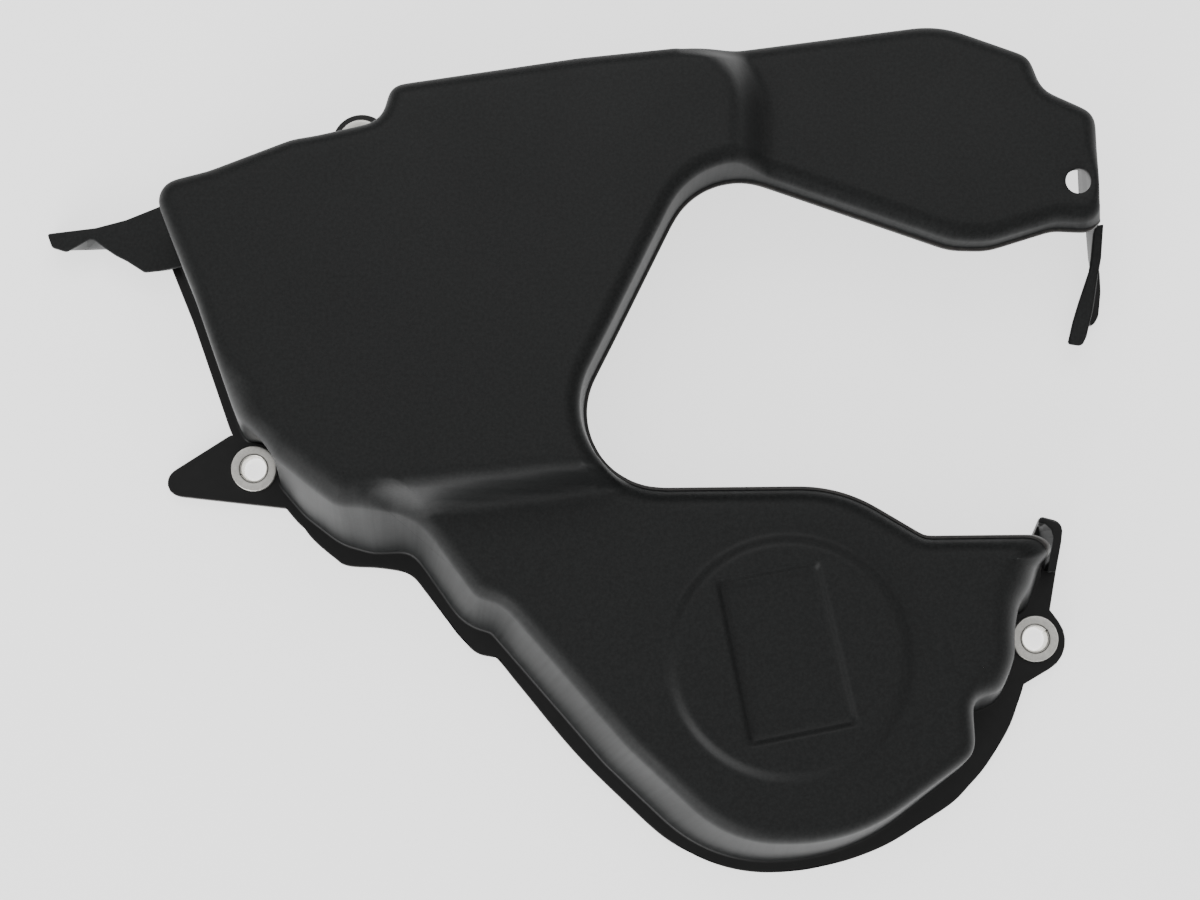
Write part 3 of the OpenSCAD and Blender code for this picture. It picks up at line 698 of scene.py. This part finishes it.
def slab(name, outlines, holes, low, high, edge, materials):
    """A flat slab over the union of outlines, less the holes, with its upper and lower edges rounded."""
    def belongs(middle):
        inside = np.zeros(len(middle), bool)
        for o in outlines:
            inside |= in_polygon(middle, o)
        for h in holes:
            inside &= ~in_polygon(middle, h)
        return inside

    flat, tris = triangulate([*outlines, *holes], np.zeros((0, 2)), belongs)
    ways = np.concatenate([tris[:, [0, 1]], tris[:, [1, 2]], tris[:, [2, 0]]])
    size = len(flat)
    codes = ways[:, 0] * size + ways[:, 1]
    lone = ways[~np.isin(codes, ways[:, 1] * size + ways[:, 0])]
    side = unit(flat[lone[:, 1]] - flat[lone[:, 0]])
    side = np.stack([side[:, 1], -side[:, 0]], 1)
    out = np.zeros((size, 2))
    np.add.at(out, lone[:, 0], side)
    np.add.at(out, lone[:, 1], side)
    used = np.unique(lone)
    number = np.full(size, -1)
    number[used] = np.arange(len(used))
    out = unit(out[used])
    rows = [
        (edge, high), (edge * 0.3, high - edge * 0.3), (0, high - edge),
        (0, low + edge * 0.6), (edge * 0.6, low),
    ]
    skin = Skin()
    rings = [level(flat[used] - out * inset, z) for inset, z in rows]
    a, b = number[lone[:, 0]], number[lone[:, 1]]
    n = len(used)
    r = np.arange(len(rows) - 1)[:, None] * n
    skin.add(np.concatenate(rings), np.stack([r + a, r + n + a, r + n + b, r + b], 2).reshape(-1, 4), 1)
    for inset, z, order in ((edge, high, tris), (edge * 0.6, low, tris[:, ::-1])):
        cap = flat.copy()
        cap[used] -= out * inset
        skin.add(level(cap, z), order, 0)
    return evenly_shaded(skin.mesh(name, materials, weld=0.002))


# How far the lofts' undersides are off the engine's face.
LOFT_FOOT = 0.05


def loft(name, low_rows, high_rows, height, edge, materials, tilt=0.0):
    """A solid between two outlines with the same corners, one near the ground and one at height.

    Its upper edge is rounded. tilt is how much the upper face rises for each millimetre of x.
    """
    pair = []
    for rows in (low_rows, high_rows):
        rows = np.array(rows)
        line = rounded(rows[:, :2], rows[:, 2], OUTLINE_ARC)
        t = (np.arange(3) / 3)[None, :, None]
        pair.append((line[:, None] * (1 - t) + np.roll(line, -1, 0)[:, None] * t).reshape(-1, 2)[::-1])
    low, high = pair
    area = (high[:, 0] * np.roll(high[:, 1], -1) - np.roll(high[:, 0], -1) * high[:, 1]).sum()
    if area < 0:
        low, high = low[::-1], high[::-1]
    count = len(high)
    out = -unit(np.roll(high, -1, 0) - np.roll(high, 1, 0)) @ np.array([[0, 1], [-1, 0]])
    inset = high - out * edge
    lift = tilt * (high[:, 0] - high[:, 0].mean())
    rows = [level(inset, height + lift), level(high - out * edge * 0.3, height + lift - edge * 0.3)]
    rows += [
        level(high * (1 - t) + low * t, (height + lift - edge) * (1 - t) + LOFT_FOOT * t)
        for t in (0.0, 0.33, 0.66, 1.0)
    ]
    skin = Skin()
    skin.add(np.concatenate(rows), grid_faces(len(rows), count), 1)
    for ring, z, order in ((inset, height, 1), (low, LOFT_FOOT, -1)):
        def belongs(middle, ring=ring):
            return in_polygon(middle, ring)

        flat, tris = triangulate([ring], np.zeros((0, 2)), belongs, True)
        rise = tilt * (flat[:, 0] - high[:, 0].mean()) * (order > 0)
        skin.add(level(flat, z + rise), tris[:, ::order], 0)
    return evenly_shaded(skin.mesh(name, materials, weld=0.002))


# Outlines of the rim's wider stretches, as shares: x, y and corner radius where it has one of its own.
LEFT_LUG = [
    (-0.0231, 0.0407), (-0.1072, -0.0276, 0.0134), (0.0308, -0.0471, 0.01),
    (0.0452, -0.0560), (0.0570, 0.0200),
]
HEEL = [
    (0.5850, -0.4370), (0.6176, -0.4155, 0.2000), (0.6883, -0.3584, 0.2050), (0.7208, -0.2400),
    (0.6870, -0.2629), (0.6568, -0.3393), (0.6367, -0.3732),
]
CROSSING = [
    (0.1290, -0.1160), (0.1500, -0.1270, 0.0300), (0.1930, -0.1976), (0.2090, -0.2190, 0.0250),
    (0.2330, -0.2240), (0.2250, -0.2080), (0.1944, -0.1781), (0.1575, -0.1166),
]
# The rim's outer edge along the front, in millimetres.
FRONT_RIM = [
    (9.2, -11.1), (12.0, -13.5), (16.3, -19.4), (22.8, -25.0), (26.5, -27.1), (35.1, -27.7), (42.5, -29.0),
    (46.8, -31.7), (51.9, -38.8), (57.6, -46.6), (63.3, -51.3), (67.5, -52.3), (74.6, -60.6), (89.2, -78.0),
    (103.2, -91.8), (115.1, -102.2), (127.0, -108.1), (137.4, -110.3), (147.9, -110.8), (155.8, -109.8),
    (165.6, -107.4), (175.4, -103.5), (184.3, -98.2), (193.3, -92.4), (198.3, -87.5), (203.3, -81.7),
    (209.4, -72.0), (212.5, -64.1), (213.9, -60.0),
]
RIGHT_LUG = [
    (0.7100, -0.2590), (0.7704, -0.2142, 0.0302), (0.7422, -0.1656), (0.7171, -0.1469), (0.6836, -0.2445),
]
TOP_LUG_R = 8.3
EAR = [
    (0.7406, -0.1817), (0.7577, -0.0632, 0.0101), (0.7366, -0.0564, 0.0020), (0.7279, -0.0806),
    (0.7279, -0.1150), (0.7180, -0.1450),
]
# The tail's outline where it stands, then the same corners round its upper face: x, y and corner radius
# in millimetres.
TAIL_LOW = [
    (-20.0, 75.5, 0.3), (-29.2, 74.6, 4.0), (-37.8, 71.0, 6.0), (-46.4, 68.7, 6.0), (-60.1, 67.0, 0.6),
    (-58.6, 63.4, 1.2), (-55.0, 62.7, 0.5), (-49.3, 62.8, 0.5), (-43.7, 63.0, 1.0), (-40.3, 61.6, 1.0),
    (-36.3, 59.8, 1.0), (-31.4, 56.7, 1.6), (-26.0, 57.0, 0.5), (-18.0, 58.6, 0.3),
]
TAIL_HIGH = [
    (-20.0, 77.0, 0.3), (-28.1, 73.4, 4.0), (-36.6, 69.9, 6.0), (-45.1, 67.6, 6.0), (-58.7, 65.9, 0.6),
    (-57.2, 61.9, 1.6), (-53.0, 60.6, 1.6), (-46.2, 64.6, 2.4), (-41.6, 61.2, 1.6), (-39.0, 59.5, 1.0),
    (-36.0, 58.0, 1.0), (-31.0, 54.8, 1.6), (-27.0, 55.2, 0.5), (-18.0, 57.0, 0.3),
]
# The tongue below the arm: its narrow foot, its wider upper face, and the dark rim behind it, in millimetres.
TONGUE_LOW = [
    (235.1, 69.8, 0.2), (235.0, 67.5, 0.5), (235.4, 60.3, 2.0), (235.9, 56.8, 0.5), (233.7, 48.2, 6.0),
    (232.4, 43.0, 4.0), (231.6, 37.3, 0.5), (233.4, 36.4, 0.5), (234.4, 38.7, 0.5), (235.9, 45.6, 6.0),
    (237.0, 54.2, 8.0), (237.8, 60.3, 4.0), (238.0, 69.8, 0.2),
]
TONGUE_HIGH = [
    (234.6, 67.2, 0.2), (234.0, 64.9, 0.5), (233.3, 57.9, 2.0), (232.8, 54.5, 0.5), (230.2, 46.0, 6.0),
    (228.8, 40.9, 4.0), (227.5, 34.8, 0.9), (230.9, 33.7, 1.2), (232.0, 36.3, 1.0), (233.6, 43.5, 6.0),
    (234.8, 51.9, 8.0), (235.8, 57.9, 4.0), (236.5, 67.2, 0.2),
]
TONGUE_H = 11.0
TONGUE_RIM = [
    (0.7940, 0.2600), (0.7975, 0.2370, 0.02), (0.7979, 0.2129, 0.02), (0.7952, 0.1836, 0.01),
    (0.7890, 0.1700, 0.004), (0.7830, 0.1760), (0.7900, 0.2150),
]
# The ear beside the right lug: its foot, and the dark upper face that bends round the pale inner side.
EAR_LOW = [
    (219.0, -16.0, 0.3), (220.1, -13.7, 0.5), (225.5, -15.2, 1.0), (226.3, -17.2, 1.0), (225.8, -20.3, 4.0),
    (224.1, -28.7, 0.3), (220.6, -28.1, 0.3), (219.8, -24.2, 3.0), (218.8, -21.4, 2.0), (218.1, -18.9, 1.0),
    (218.4, -17.7, 0.5), (218.9, -16.6, 0.3),
]
EAR_HIGH = [
    (216.9, -15.6, 0.3), (217.6, -14.0, 0.5), (222.9, -15.7, 1.2), (223.6, -17.8, 1.2), (223.2, -21.0, 4.0),
    (221.5, -29.2, 0.3), (219.0, -29.2, 0.3), (219.9, -24.8, 3.0), (220.5, -22.7, 2.0), (221.0, -19.6, 1.6),
    (220.4, -17.5, 1.0), (218.7, -15.9, 0.8),
]
EAR_H = 12.0


def curve_through(points):
    """A smooth line through the points.

    Each span is the cubic whose end slopes are half the gap between the neighbours.
    """
    p = np.array(points)
    p = np.concatenate([2 * p[:1] - p[1:2], p, 2 * p[-1:] - p[-2:-1]])
    t = (np.arange(8) / 8)[None, :, None]
    a, b, c, d = (p[i:len(p) - 3 + i, None] for i in range(4))
    square, cube = (2 * a - 5 * b + 4 * c - d) / 2, (3 * b - a - 3 * c + d) / 2
    curve = b + (c - a) / 2 * t + square * t ** 2 + cube * t ** 3
    return np.concatenate([curve.reshape(-1, 2), p[-2:-1]])


def rim_patch(edge):
    """A wider stretch of the rim: its outer edge, closed along the wall one millimetre inside the foot."""
    edge = curve_through(edge)
    first, last = (int(np.argmin(np.linalg.norm(foot - p, axis=1))) for p in (edge[0], edge[-1]))
    wrapped = (first + np.arange((last - first) % STATIONS)) % STATIONS
    span = np.arange(first, last + 1) if last > first else wrapped
    return np.concatenate([edge, (foot[span] - foot_out[span])[::-1]])


def rim_outline():
    """The rim under the wall where it stands on the engine, out along its outer edge and back inside."""
    start = int(np.argmax(on_engine[:200] > 0.5))
    grounded = np.roll(on_engine > 0.5, -start)
    stop = int(np.argmin(grounded))
    span = (start + np.arange(stop)) % STATIONS
    outer = foot[span] + foot_out[span] * RIM_W
    return np.concatenate([outer, inner_foot[span][::-1]])


# Radius and height round a sleeve's section: up its outside, over the flange, and down the bore.
SLEEVE_PROFILE = np.array([
    (3.25, 0.10), (3.35, 0.0), (4.40, 0.0), (4.50, 0.10), (4.50, 3.0), (6.15, 3.0), (6.35, 3.15),
    (6.35, 4.24), (6.31, 4.37), (6.20, 4.46), (6.05, 4.49), (5.60, 4.50), (5.00, 4.49), (4.50, 4.46),
    (4.15, 4.42), (4.06, 4.30), (4.02, 4.12), (3.94, 4.12), (3.86, 4.26), (3.74, 4.30), (3.58, 4.22),
    (3.42, 3.90), (3.30, 3.40), (3.25, 2.8), (3.25, 1.5),
])
SLEEVE_SIDES = 144
# The groove where the rolled tube closes: its half width in radians, how deep it cuts the bore and the top.
SEAM_TURN, SEAM_IN, SEAM_DOWN = 0.05, 0.55, 0.10


def bolt_sleeve(name, x, y, seam, materials):
    """A flanged sleeve: the profile turned about its axis, with a narrow groove at seam degrees."""
    profile, count = SLEEVE_PROFILE, SLEEVE_SIDES
    turn = np.arange(count) * 2 * math.pi / count
    away = np.abs((turn - math.radians(seam) + math.pi) % (2 * math.pi) - math.pi)
    notch = np.exp(-(away / SEAM_TURN) ** 2)
    bored = np.clip((4.35 - profile[:, 0]) / 0.8, 0, 1)
    radius = profile[:, 0][:, None] + SEAM_IN * bored[:, None] * notch[None]
    z = profile[:, 1][:, None] - SEAM_DOWN * bored[:, None] * notch[None]
    z = np.maximum(z, 0)
    across, along_y = x + radius * np.cos(turn), y + radius * np.sin(turn)
    co = np.stack([across, along_y, z * np.ones(count)], 2).reshape(-1, 3)
    k = len(profile)
    rows = np.arange(k)[:, None] * count
    following = ((np.arange(k) + 1) % k)[:, None] * count
    i = np.arange(count)
    j = (i + 1) % count
    faces = np.stack([rows + i, rows + j, following + j, following + i], 2).reshape(-1, 4)
    skin = Skin()
    uv = np.stack([np.tile(turn, k) * 6, np.repeat(profile[:, 0] + profile[:, 1], count)], 1)
    # Painted shade: dark where the flange turns down into the tube, and in the seam.
    crease_shade = np.exp(-((profile[:, 0] - 4.02) / 0.11) ** 2) * (profile[:, 1] > 4.1)
    painted_shade = np.maximum(crease_shade[:, None] * 0.9, bored[:, None] * notch[None] * (profile[:, 1] > 3.2)[:, None])
    skin.add(co, faces, 0, uv, 0.0, painted_shade.ravel())
    return skin.mesh(name, materials, weld=0.0005, sharp=40)


def linear(code):
    """An sRGB hex colour as linear RGBA: c / 12.92 when dark, and ((c + 0.055) / 1.055) ^ 2.4 otherwise."""
    c = np.array([int(code[i:i + 2], 16) for i in (1, 3, 5)]) / 255
    c = np.where(c <= 0.04045, c / 12.92, ((c + 0.055) / 1.055) ** 2.4)
    return (*c.tolist(), 1.0)


def node(tree, kind, settings=None, **links):
    """Adds a node, sets its properties and sockets, and links each named socket to an output."""
    made = tree.nodes.new(kind)
    for key, value in (settings or {}).items():
        if hasattr(made, key):
            setattr(made, key, value)
        else:
            made.inputs[key].default_value = value
    for key, output in links.items():
        tree.links.new(output, made.inputs[int(key[1:]) if key[0] == "_" else key.replace("_", " ")])
    return made


def new_material(name):
    """A material with an empty surface shader, and its tree and shader."""
    material = bpy.data.materials.new(name)
    material.use_nodes = True
    tree = material.node_tree
    return material, tree, tree.nodes["Principled BSDF"]


def noise(tree, size, detail, roughness):
    """A noise texture fixed to the piece, with features about size millimetres apart."""
    place_of = node(tree, "ShaderNodeTexCoord").outputs
    settings = {"Scale": 1 / (size * MM), "Detail": detail, "Roughness": roughness}
    return node(tree, "ShaderNodeTexNoise", settings, Vector=place_of["Object"]).outputs["Fac"]


def two_tones(tree, share, *tones):
    """A ramp between two tones, each a position and an sRGB hex colour."""
    ramp = node(tree, "ShaderNodeValToRGB", {}, Fac=share)
    for k, (position, code) in enumerate(tones):
        ramp.color_ramp.elements[k].position = position
        ramp.color_ramp.elements[k].color = linear(code)
    return ramp.outputs["Color"]


def map_range(tree, value, low, high, to_low, to_high):
    """Maps low to to_low and high to to_high, held at both ends."""
    settings = {"From Min": low, "From Max": high, "To Min": to_low, "To Max": to_high}
    return node(tree, "ShaderNodeMapRange", settings, Value=value).outputs[0]


def over_colour(tree, share, colour, code):
    """A colour that goes over to an sRGB hex colour by a share."""
    mix = node(tree, "ShaderNodeMix", {"data_type": "RGBA"}, _0=share, _6=colour)
    mix.inputs[7].default_value = linear(code)
    return mix.outputs[2]


def attribute(tree, name):
    """The values that the mesh carries under a name."""
    return node(tree, "ShaderNodeAttribute", {"attribute_name": name}).outputs["Fac"]


def bump(tree, height, strength, distance):
    """Normals bumped by a texture, over a distance in millimetres."""
    settings = {"Strength": strength, "Distance": distance * MM}
    return node(tree, "ShaderNodeBump", settings, Height=height).outputs["Normal"]


def feed(tree, shader, inputs):
    """Sets the shader's inputs to values, or links them to outputs."""
    for name, value in inputs.items():
        if isinstance(value, bpy.types.NodeSocket):
            tree.links.new(value, shader.inputs[name])
        else:
            shader.inputs[name].default_value = value


PLASTIC_IOR = 1.49


def grained_polypropylene():
    """Black polypropylene moulded in a spark-eroded tool: a fine even grain that scatters light, so that the
    faces read as a soft charcoal. Draft walls carry faint upright drag marks from leaving the tool."""
    material, tree, shader = new_material("grained_black_polypropylene")
    # The grain is coarser than that of a real tool, so that it shows.
    grain = noise(tree, 0.9, 3.0, 0.7)
    cloud = noise(tree, 34, 2.0, 0.5)
    # Drag marks: 1.3 mm apart along the wall and 26 mm long up it.
    place_of = node(tree, "ShaderNodeTexCoord").outputs
    marks = {"Scale": (1 / (1.3 * MM), 1 / (26 * MM), 1.0)}
    stretch = node(tree, "ShaderNodeMapping", marks, Vector=place_of["UV"]).outputs["Vector"]
    drag = node(tree, "ShaderNodeTexNoise", {"Scale": 1.0, "Detail": 3.0, "Roughness": 0.6}, Vector=stretch)
    wall = attribute(tree, "wall")
    on_wall = node(tree, "ShaderNodeMath", {"operation": "MULTIPLY"}, _0=drag.outputs["Fac"], _1=wall)
    lighter = map_range(tree, on_wall.outputs[0], 0.2, 0.8, 0.0, 0.4)
    tint = two_tones(tree, grain, (0.34, "#191a1a"), (0.70, "#242525"))
    feed(tree, shader, {
        "Base Color": over_colour(tree, lighter, tint, "#424343"),
        "Roughness": map_range(tree, cloud, 0.3, 0.7, 0.44, 0.54),
        # Where this share is high, the face gives less mirror light: the walls' duller finish, with painted
        # shade on the open side and where they face away.
        "Specular IOR Level": map_range(tree, attribute(tree, "dull"), 0.0, 1.0, 0.28, 0.04),
        "Normal": bump(tree, grain, 0.35, 0.06),
        "IOR": PLASTIC_IOR,
    })
    return material


def smooth_polypropylene(name="smooth_black_polypropylene", colour="#0a0a0a", rough=0.42):
    """The same plastic where the tool was left smooth: with a low satin sheen."""
    material, tree, shader = new_material(name)
    cloud = noise(tree, 3, 4.0, 0.6)
    feed(tree, shader, {
        "Base Color": two_tones(tree, cloud, (0.3, colour), (0.75, "#121212")),
        "Roughness": rough,
        "Specular IOR Level": 0.4,
        "Normal": bump(tree, cloud, 0.2, 0.03),
        "IOR": PLASTIC_IOR,
    })
    return material


def edge_highlight_polypropylene():
    """The thin outer edges: a painted highlight, paler with a brownish cast, where the rounded edges catch
    the light.
    """
    material, tree, shader = new_material("black_polypropylene_painted_edge_highlight")
    scuff = noise(tree, 1.4, 4.0, 0.7)
    feed(tree, shader, {
        "Base Color": two_tones(tree, scuff, (0.35, "#161514"), (0.75, "#3c3835")),
        "Roughness": 0.5,
        "Normal": bump(tree, scuff, 0.5, 0.08),
        "IOR": PLASTIC_IOR,
    })
    return material


def zinc_plated_steel():
    """Zinc-plated mild steel, rolled and tumbled: pale matt grey with fine speckle and soft gloss, and
    painted shade in its crease and seam.
    """
    material, tree, shader = new_material("zinc_plated_steel")
    speckle = noise(tree, 0.7, 4.0, 0.65)
    tint = two_tones(tree, speckle, (0.3, "#dcdad4"), (0.7, "#f4f2ec"))
    feed(tree, shader, {
        # On the sleeves this attribute gives painted shade: dark in the flange's crease and in the seam.
        "Base Color": over_colour(tree, attribute(tree, "dull"), tint, "#15130f"),
        "Roughness": map_range(tree, speckle, 0.3, 0.7, 0.30, 0.46),
        "Normal": bump(tree, speckle, 0.25, 0.03),
        "Metallic": 0.8,
    })
    return material


def studio():
    """Camera, pale floor and plain soft lights."""
    camera = bpy.data.objects.new("camera", bpy.data.cameras.new("camera"))
    camera.data.lens = 60
    camera.data.sensor_width = 36
    camera.data.clip_start = 0.01
    camera.location = (96.65 * MM, -53.20 * MM, 560 * MM)
    camera.rotation_euler = (math.radians(6), 0, 0)
    bpy.context.scene.collection.objects.link(camera)
    bpy.context.scene.camera = camera

    ground = bpy.data.meshes.new("floor")
    half, under = 4.0, -0.0006
    corners = [(-half, -half, under), (half, -half, under), (half, half, under), (-half, half, under)]
    ground.from_pydata(corners, [], [(0, 1, 2, 3)])
    floor = bpy.data.objects.new("floor", ground)
    bpy.context.scene.collection.objects.link(floor)
    material, tree, shader = new_material("pale_floor")
    feed(tree, shader, {
        "Base Color": (0.93, 0.93, 0.93, 1),
        "Roughness": 0.8,
        "Specular IOR Level": 0.0,
        "Emission Color": (1, 1, 1, 1),
        "Emission Strength": 1.5,
    })
    ground.materials.append(material)

    def softbox(name, location, aim, size, power):
        """A rectangular area light that looks at a point."""
        lamp = bpy.data.lights.new(name, "AREA")
        lamp.shape = "RECTANGLE"
        lamp.size, lamp.size_y = size
        lamp.energy = power
        box = bpy.data.objects.new(name, lamp)
        box.location = location
        box.rotation_euler = (Vector(aim) - Vector(location)).to_track_quat("-Z", "Y").to_euler()
        bpy.context.scene.collection.objects.link(box)

    softbox("key_softbox", (-0.55, -0.95, 0.42), (0.09, 0.0, 0.02), (1.0, 0.5), 9.0)
    softbox("top_softbox", (0.10, 0.9, 1.3), (0.09, 0.0, 0.0), (1.2, 0.8), 5.0)
    world = bpy.data.worlds.new("studio_air")
    world.use_nodes = True
    world.node_tree.nodes["Background"].inputs["Color"].default_value = (1, 1, 1, 1)
    world.node_tree.nodes["Background"].inputs["Strength"].default_value = 0.55
    bpy.context.scene.world = world


studio()
grained = grained_polypropylene()
smooth = smooth_polypropylene()
# The paler edge material is a painted highlight along the rim's and lip's thin outer edges.
edge_highlight = edge_highlight_polypropylene()
inside_plastic = smooth_polypropylene("inside_black_polypropylene", "#222323", 0.5)
zinc = zinc_plated_steel()

pieces = [moulded_shell([grained, smooth, edge_highlight, inside_plastic])]
seats = [circle(x, y, SLEEVE_SEAT_R, 64) for x, y, _ in SLEEVES.values()]
rim_lines = [rim_outline(), rim_patch(FRONT_RIM)]
rim_lines += [outline(rows) for rows in (LEFT_LUG, HEEL, CROSSING, RIGHT_LUG, EAR)]
rim_lines.append(circle(*SLEEVES["bolt_sleeve_top"][:2], TOP_LUG_R, 64))
pieces.append(slab("seating_rim", rim_lines, seats, 0.0, RIM_T, 0.3, [smooth, edge_highlight]))
pieces.append(loft("tail", TAIL_LOW, TAIL_HIGH, TAIL_H, 0.5, [grained, grained]))
pieces.append(loft("side_tongue", TONGUE_LOW, TONGUE_HIGH, TONGUE_H, 0.4, [grained, grained], 0.9))
pieces.append(slab("tongue_rim", [outline(TONGUE_RIM)], [], 0.0, RIM_T, 0.3, [smooth, smooth]))
pieces.append(loft("ear", EAR_LOW, EAR_HIGH, EAR_H, 0.3, [smooth, grained]))
for piece in pieces:
    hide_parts("cover_shell")
    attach(piece, "root")
for name, (x, y, seam) in SLEEVES.items():
    piece = bolt_sleeve(name.replace("bolt_sleeve", "flanged_sleeve"), x, y, seam, [zinc])
    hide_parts(name)
    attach(piece, "root")
